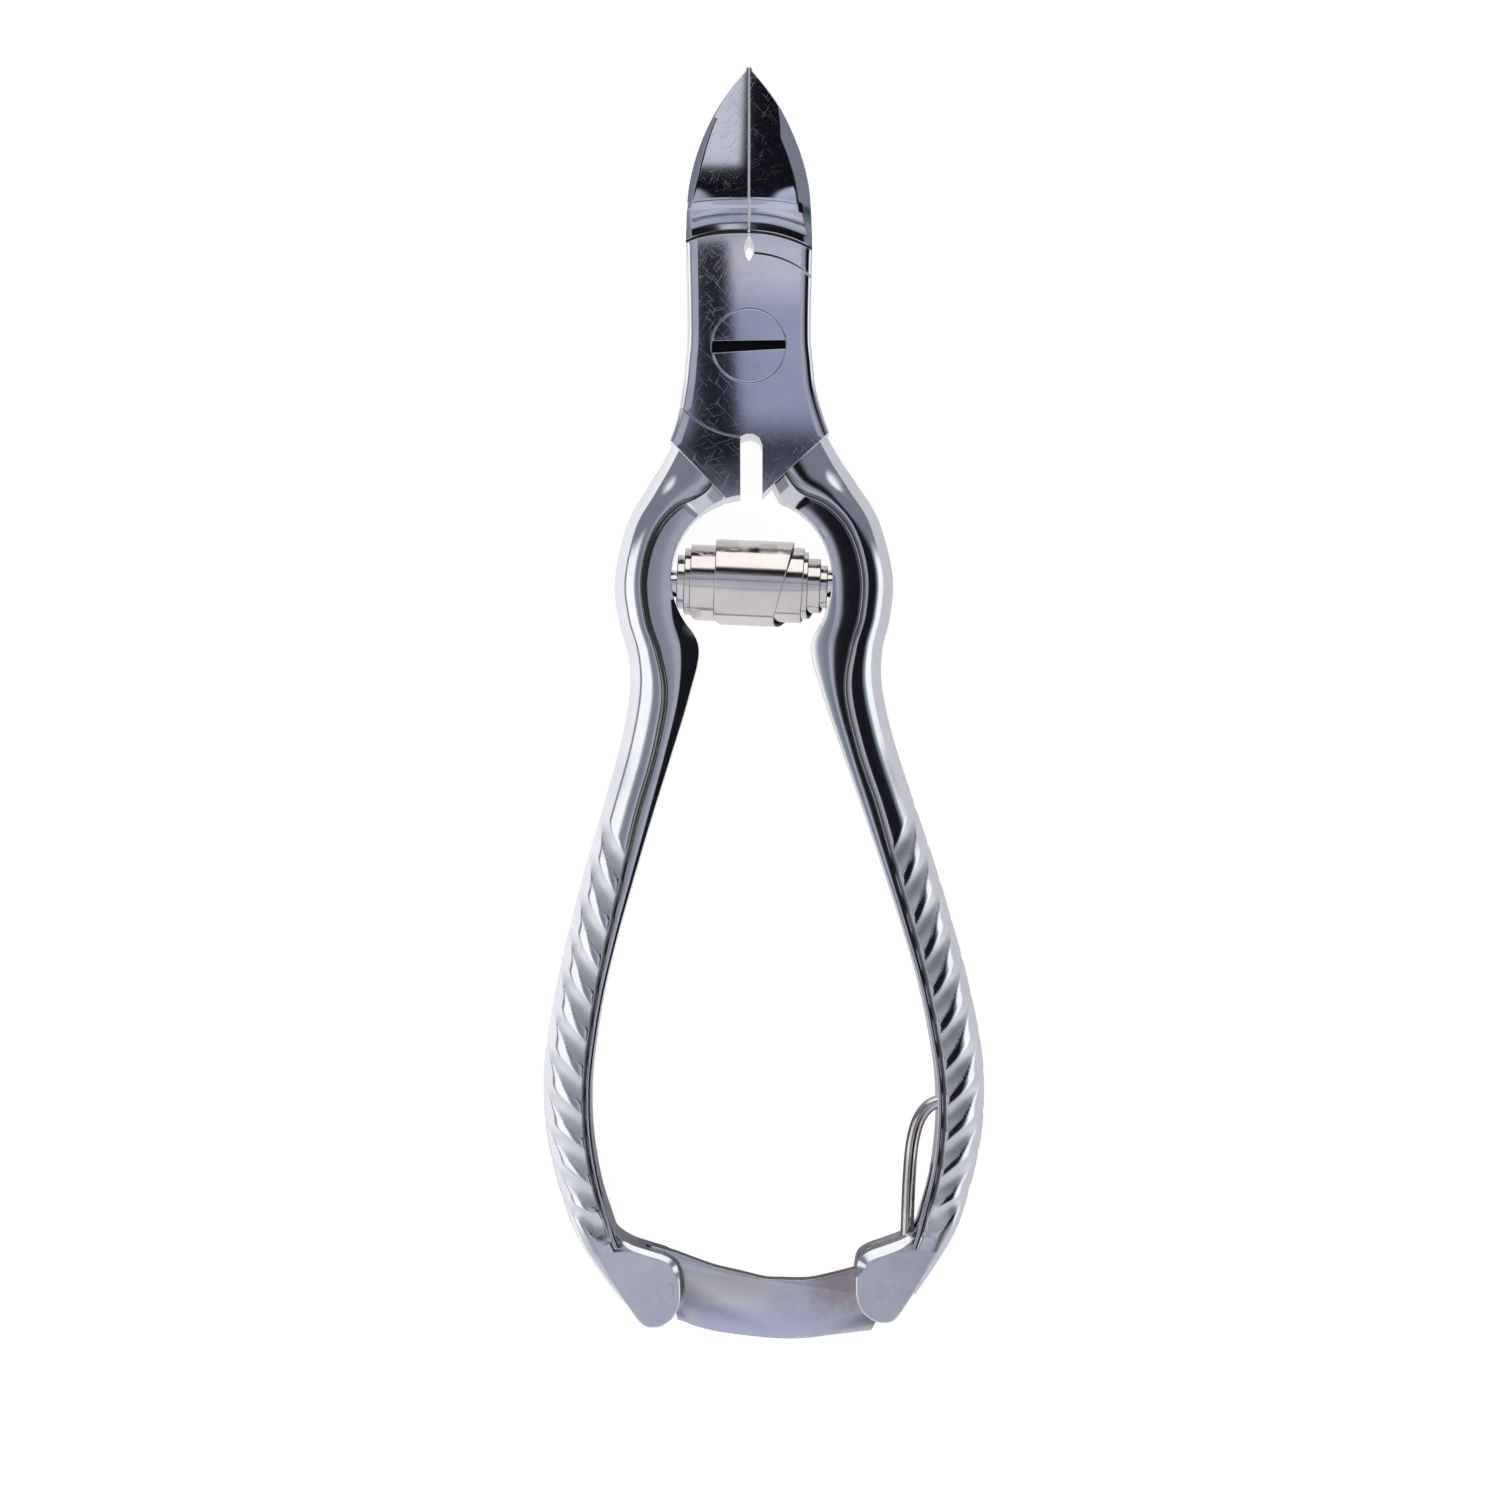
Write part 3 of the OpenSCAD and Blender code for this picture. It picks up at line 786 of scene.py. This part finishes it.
def noise(tree, where, scale, detail=2.0, turn=0.0, stretch=(1, 1, 1)):
    """Noise over the object in millimetres, turned and then stretched."""
    mapping = add(tree, "Mapping")
    mapping.vector_type = "TEXTURE"
    mapping.inputs["Rotation"].default_value = (0, 0, math.radians(turn))
    mapping.inputs["Scale"].default_value = stretch
    feed(tree, mapping.inputs["Vector"], where)
    texture = add(tree, "TexNoise", Scale=scale, Detail=detail, Roughness=0.6)
    feed(tree, texture.inputs["Vector"], mapping.outputs[0])
    return texture.outputs["Fac"]


def lines(tree, where, turn, seed, rare=0.66):
    """Thin, sparse scratches in one direction."""
    shifted = add(tree, "VectorMath", operation="ADD")
    shifted.inputs[1].default_value = (seed, seed * 0.7, 0)
    feed(tree, shifted.inputs[0], where)
    value = noise(tree, shifted.outputs[0], 1.0, 0.0, turn, (2.2, 0.06, 2.2))
    return step(tree, value, rare, rare + 0.03)


def with_tint_patches(tree, where, colour, tint_patches):
    """Tints ragged patches. Each patch is (centre, half sizes, tint, amount)."""
    for at, size, tint, amount in tint_patches:
        offset = add(tree, "VectorMath", operation="SUBTRACT")
        offset.inputs[1].default_value = (*at, 0)
        feed(tree, offset.inputs[0], where)
        squeeze = add(tree, "VectorMath", operation="MULTIPLY")
        squeeze.inputs[1].default_value = (1 / size[0], 1 / size[1], 0)
        feed(tree, squeeze.inputs[0], offset.outputs[0])
        reach = add(tree, "VectorMath", operation="LENGTH")
        feed(tree, reach.inputs[0], squeeze.outputs[0])
        ragged = calc(tree, "MULTIPLY_ADD", noise(tree, where, 0.9, 3.0), 0.8, reach.outputs["Value"])
        colour = mixed(tree, step(tree, ragged, 1.55, 0.75, 0.0, amount), colour, tint)
    return colour


def brushed(tree, where, along, strokes):
    """Height of the brushed strokes, which differ from zone to zone along the piece."""
    height = 0.0
    for turn, low, high, amount in strokes:
        here = calc(tree, "MULTIPLY", step(tree, along, low, low + 2),
                    step(tree, along, high, high - 2, 0.0, amount))
        part = calc(tree, "MULTIPLY", noise(tree, where, 1.0, 3.0, turn, (4.0, 0.22, 0.22)), here)
        height = calc(tree, "ADD", part, height)
    return height


def scratched(tree, where, scratches):
    """1 on the scratches. Each set is (turn, seed, how rare)."""
    marks = 0.0
    for turn, seed, rare in scratches:
        marks = calc(tree, "MAXIMUM", lines(tree, where, turn, seed, rare), marks)
    return marks


def metal(name, light, dark, finish, strokes, stroke_depth, scratches=(), tint_patches=()):
    """Steel. finish is (y, roughness) along it, and strokes is (turn, y from, y to, amount)."""
    material = bpy.data.materials.new(name)
    material.use_nodes = True
    tree = material.node_tree
    shader = tree.nodes["Principled BSDF"]
    shader.inputs["Metallic"].default_value = 1.0
    scaled = add(tree, "VectorMath", operation="SCALE")
    scaled.inputs["Scale"].default_value = 1 / MM
    feed(tree, scaled.inputs[0], add(tree, "TexCoord").outputs["Object"])
    where = scaled.outputs[0]
    split = add(tree, "SeparateXYZ")
    feed(tree, split.inputs[0], where)
    along = split.outputs["Y"]
    painted_shade, satin = (add(tree, "Attribute", attribute_name=layer).outputs["Fac"] for layer in LAYERS)

    cloud = step_linear(tree, noise(tree, where, 0.16, 3.0), 0.32, 0.66)
    colour = with_tint_patches(tree, where, mixed(tree, cloud, dark, light), tint_patches)
    # Painted shade: the colour turns near-black where the shade layer is set.
    feed(tree, shader.inputs["Base Color"], mixed(tree, painted_shade, colour, PAINTED_SHADE_COLOUR))

    # Gloss along the piece, worn in places, with scratches and specks.
    marks = scratched(tree, where, scratches)
    specks = step(tree, noise(tree, where, 4.5, 1.0), 0.76, 0.82)
    base = ramp(tree, along, -112, 32, [(y, (r, r, r)) for y, r in sorted(finish)], "LINEAR")
    worn = calc(tree, "MULTIPLY_ADD", noise(tree, where, 0.5, 4.0), 0.5, 0.75)
    rough = calc(tree, "MULTIPLY_ADD", calc(tree, "MAXIMUM", marks, specks), 0.05,
                 calc(tree, "MULTIPLY", base, worn))
    rough = calc(tree, "MAXIMUM", rough, calc(tree, "MULTIPLY", satin, SATIN_ROUGHNESS))
    rough = calc(tree, "MAXIMUM", rough, calc(tree, "MULTIPLY", painted_shade, PAINTED_SHADE_ROUGHNESS))
    feed(tree, shader.inputs["Roughness"], rough)

    # Relief: brushed strokes, the grain of the matt flutes, and scratches, over slightly round edges.
    bevel = add(tree, "Bevel", samples=4)
    bevel.inputs["Radius"].default_value = EDGE_ROUND * MM
    grain = calc(tree, "MULTIPLY", noise(tree, where, 5.0, 2.0, 0, (1, 4, 1)), satin)
    relief = calc(tree, "MULTIPLY_ADD", grain, 6.0, brushed(tree, where, along, strokes))
    bump = add(tree, "Bump")
    bump.inputs["Strength"].default_value = 1.0
    bump.inputs["Distance"].default_value = stroke_depth * MM
    feed(tree, bump.inputs["Height"], calc(tree, "MULTIPLY_ADD", marks, -0.03, relief))
    feed(tree, bump.inputs["Normal"], bevel.outputs[0])
    feed(tree, shader.inputs["Normal"], bump.outputs[0])
    return material


forged = metal(
    "forged_steel", (0.9, 0.9, 0.92), (0.8, 0.81, 0.86),
    finish=[(-100, 0.2), (-96, 0.13), (-30, 0.1), (-17, 0.09), (-11, 0.035), (11, 0.03), (14, 0.08),
            (16.5, 0.025), (31, 0.02)],
    strokes=[(-52, -14, 13, 0.07), (95, -95, -14, 0.7), (4, -112, -95, 1.2)], stroke_depth=0.0012,
    scratches=[(-48, 3.1, 0.75), (62, 7.7, 0.76), (15, 21.1, 0.77)])
catch_steel = metal(
    "catch_steel", (0.86, 0.86, 0.88), (0.7, 0.7, 0.78), finish=[(-112, 0.16), (-90, 0.16)],
    strokes=[(35, -120, -90, 1)], stroke_depth=0.0015, scratches=[(42, 5.3, 0.7), (8, 2.2, 0.72)],
    # Painted reflection: a beige band over the upper left and a lavender band along the bottom. The brown
    # patch at the right end is a heat tint.
    tint_patches=[((-4, -103.2), (9, 2.0), (0.8, 0.78, 0.72), 0.7),
            ((2, -107.8), (14, 2.3), (0.6, 0.62, 0.8), 0.75),
            ((10.5, -103), (4.5, 4), (0.52, 0.42, 0.41), 0.85)])
spring_steel = metal(
    "spring_steel", (0.93, 0.87, 0.82), (0.85, 0.78, 0.75), finish=[(-40, 0.12), (-10, 0.12)],
    strokes=[(88, -50, 0, 1)], stroke_depth=0.001, scratches=[(90, 1.3, 0.74)])
wire_steel = metal(
    "wire_steel", (0.78, 0.73, 0.7), (0.5, 0.44, 0.42), finish=[(-110, 0.16), (-80, 0.13)],
    strokes=[(90, -112, -70, 1)], stroke_depth=0.0015, scratches=[(80, 4.4, 0.72)])


# ---------------------------------------------------------------- pieces on their bodies
def place(piece, body, material, slot, *nodes):
    piece.data.materials.clear()
    piece.data.materials.append(material)
    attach(piece, body)
    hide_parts(*nodes)


place(forging("back_forging", 1), "back", forged, "forged_steel", "back_half")
place(forging("front_forging", -1), "front", forged, "forged_steel", "front_half")
place(screw(), "back", forged, "screw_steel", "pivot_screw")
place(catch_bar(), "catch", catch_steel, "catch_steel", "catch_bar")
place(wire(), "front", wire_steel, "wire_steel", "catch_wire")

coil = spring()
coil.data.materials.append(spring_steel)
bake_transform(coil)
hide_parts("barrel_spring")

for node in ("spring_peg_left", "spring_peg_right", "catch_pin", "keeper_pin"):
    kept = frame["nodes"][node]
    kept.data.materials.clear()
    kept.data.materials.append(forged)

# ---------------------------------------------------------------- studio
# The floor, in metres.
FLOOR_Z = -0.82 * MM
FLOOR_R = 4
CAMERA_AT = (0.11, -44.3)
CAMERA_UP = 340.0
FRAME_W = 164.25
WHITE = (1.08, 1.09, 1.1)
BLACK = (0.008, 0.008, 0.011)
LAVENDER = (0.38, 0.39, 0.47)

# Soft boxes and black cards around the object, as angles from straight up: left is negative.
SIDE_BANDS = [(-100, (0.5, 0.5, 0.52)), (-88, (0.2, 0.2, 0.22)), (-83, (0.2, 0.2, 0.22)), (-79, WHITE),
              (-42, WHITE), (-34, (0.3, 0.32, 0.38)), (-24, (0.2, 0.22, 0.27)), (-13, (0.24, 0.26, 0.32)),
              (-9, LAVENDER), (4.5, LAVENDER), (8.5, BLACK), (49, BLACK), (57, (0.17, 0.22, 0.27)),
              (62, (0.32, 0.37, 0.42)), (68, WHITE), (88, WHITE), (100, (0.6, 0.6, 0.62))]
# Overhead cards: left, right, low and high edge where a level face shows them, how much the right
# edge moves per millimetre of height, softness and colour. Later cards lie over earlier ones.
JAW_DARK = (0.006, 0.006, 0.009)
CARDS = [
    (-60, 60, 84, 262, 0, 4, JAW_DARK),
    (-9.5, -2.2, -92, 84, 0, 2.2, (0.38, 0.41, 0.51)),
    (-2.2, 0.9, -92, 84, 0, 2.2, (0.12, 0.13, 0.21)),
    (0.9, 9.5, -92, 84, 0, 2.2, (0.45, 0.53, 0.64)),
    (-9.5, 9.5, -17.6, 12.7, 0, 0.5, (0.31, 0.335, 0.475)),
    (-9.5, 9.5, 5.5, 12.7, 0, 3.0, (0.52, 0.515, 0.62)),
    (-9.5, 9.5, -18.6, -9.0, 0, 2.5, (0.035, 0.036, 0.05)),
    (-6.35, -1.5, -17.6, 11.6, -0.0675, 0.3, (0.006, 0.007, 0.011)),
    (-12, -4.8, 96.3, 125, 0.04, 0.3, (0.58, 0.59, 0.68)),
    (-19, -5, -90, -34, 0, 5, (0.6, 0.6, 0.68)),
    (-11.5, 11.5, -125, -97, 0, 1.5, (0.53, 0.54, 0.62)),
    (-26, -9.6, -130, -93, 0, 1.5, (0.55, 0.565, 0.67)),
    (9.6, 26, -130, -93, 0, 1.5, (0.52, 0.53, 0.66)),
]


def card(tree, across, along, colour, edges):
    left, right, low_edge, high_edge, slant, soft, tint = edges
    right_at = calc(tree, "MULTIPLY_ADD", along, slant, right)
    past_right = calc(tree, "SUBTRACT", across, right_at)
    inside = calc(tree, "MULTIPLY", step(tree, across, left - soft, left + soft),
                  step(tree, past_right, soft, -soft))
    level = calc(tree, "MULTIPLY", step(tree, along, low_edge - soft, low_edge + soft),
                 step(tree, along, high_edge + soft, high_edge - soft))
    return mixed(tree, calc(tree, "MULTIPLY", inside, level), colour, tint)


def world():
    """A studio of soft boxes and cards that only reflections see. The camera sees plain white."""
    backdrop = bpy.data.worlds.new("studio")
    bpy.context.scene.world = backdrop
    backdrop.use_nodes = True
    tree = backdrop.node_tree
    tree.nodes.clear()
    where = add(tree, "TexCoord")
    parts = add(tree, "SeparateXYZ")
    feed(tree, parts.inputs[0], where.outputs["Generated"])
    dx, dy, dz = (parts.outputs[k] for k in "XYZ")
    sideways = calc(tree, "DEGREES", calc(tree, "ARCTAN2", dx, dz))
    colour = ramp(tree, sideways, -100, 100, SIDE_BANDS, "LINEAR")
    beside = step(tree, calc(tree, "ABSOLUTE", dx), 0.2, 0.35)
    ahead = calc(tree, "MULTIPLY", step(tree, dy, 0.22, 0.35), beside)
    colour = mixed(tree, ahead, colour, (0.2, 0.21, 0.26))
    colour = mixed(tree, step(tree, dy, -0.25, -0.42), colour, (0.62, 0.63, 0.68))

    # Overhead, a direction is named by the place where a level face shows it to the camera.
    up = calc(tree, "MAXIMUM", dz, 0.05)
    across = calc(tree, "MULTIPLY_ADD", calc(tree, "DIVIDE", dx, up), CAMERA_UP, CAMERA_AT[0])
    along = calc(tree, "MULTIPLY_ADD", calc(tree, "DIVIDE", dy, up), CAMERA_UP, CAMERA_AT[1])
    for edges in CARDS:
        colour = card(tree, across, along, colour, edges)
    near = step(tree, calc(tree, "ABSOLUTE", dx), 0.7, 0.5)
    tip_box = calc(tree, "MULTIPLY", step(tree, dy, 0.6, 0.68), near)
    colour = mixed(tree, tip_box, colour, WHITE)

    seen = add(tree, "LightPath")
    studio = add(tree, "Background")
    feed(tree, studio.inputs["Color"], colour)
    plain = add(tree, "Background")
    plain.inputs["Color"].default_value = (1, 1, 1, 1)
    choose = add(tree, "MixShader")
    feed(tree, choose.inputs[0], seen.outputs["Is Camera Ray"])
    feed(tree, choose.inputs[1], studio.outputs[0])
    feed(tree, choose.inputs[2], plain.outputs[0])
    out = add(tree, "OutputWorld")
    feed(tree, out.inputs["Surface"], choose.outputs[0])


def floor():
    """White paper that glows a little, so that it shows only a faint shadow. What reflections see of it is
    painted light: it glows brighter on the left than on the right, with a painted shadow under the object.
    """
    bpy.ops.mesh.primitive_circle_add(vertices=96, radius=FLOOR_R, fill_type="NGON",
                                      location=(0, -0.04, FLOOR_Z))
    paper = bpy.context.object
    paper.name = "floor"
    material = bpy.data.materials.new("floor_paper")
    material.use_nodes = True
    tree = material.node_tree
    shader = tree.nodes["Principled BSDF"]
    shader.inputs["Base Color"].default_value = (0.3, 0.3, 0.3, 1)
    shader.inputs["Roughness"].default_value = 1.0
    shader.inputs["Specular IOR Level"].default_value = 0.0
    shader.inputs["Emission Strength"].default_value = 1.0
    parts = add(tree, "SeparateXYZ")
    feed(tree, parts.inputs[0], add(tree, "TexCoord").outputs["Object"])
    # Painted light for reflections: brighter on the left, dimmer on the right.
    lit = ramp(tree, parts.outputs["X"], -0.05, 0.05,
               [(-0.03, (0.8, 0.8, 0.82)), (0.02, (0.48, 0.48, 0.5))])
    # Painted shadow for reflections: nearly black under the object.
    inside = add(tree, "VectorMath", operation="DISTANCE")
    inside.inputs[1].default_value = (0, -0.05, 0)
    feed(tree, inside.inputs[0], add(tree, "TexCoord").outputs["Object"])
    lit = mixed(tree, step(tree, inside.outputs["Value"], 0.03, 0.012), lit, (0.03, 0.03, 0.035))
    seen = add(tree, "LightPath")
    feed(tree, shader.inputs["Emission Color"],
         mixed(tree, seen.outputs["Is Camera Ray"], lit, (0.92, 0.92, 0.93)))
    paper.data.materials.append(material)


def camera():
    data = bpy.data.cameras.new("camera")
    data.sensor_width = 36
    data.lens = data.sensor_width * CAMERA_UP / FRAME_W
    data.clip_start = 0.01
    eye = bpy.data.objects.new("camera", data)
    eye.location = (CAMERA_AT[0] * MM, CAMERA_AT[1] * MM, (BODY_T + CAMERA_UP) * MM)
    bpy.context.scene.collection.objects.link(eye)
    bpy.context.scene.camera = eye


floor()
world()
camera()
bpy.context.scene.view_settings.view_transform = "Standard"
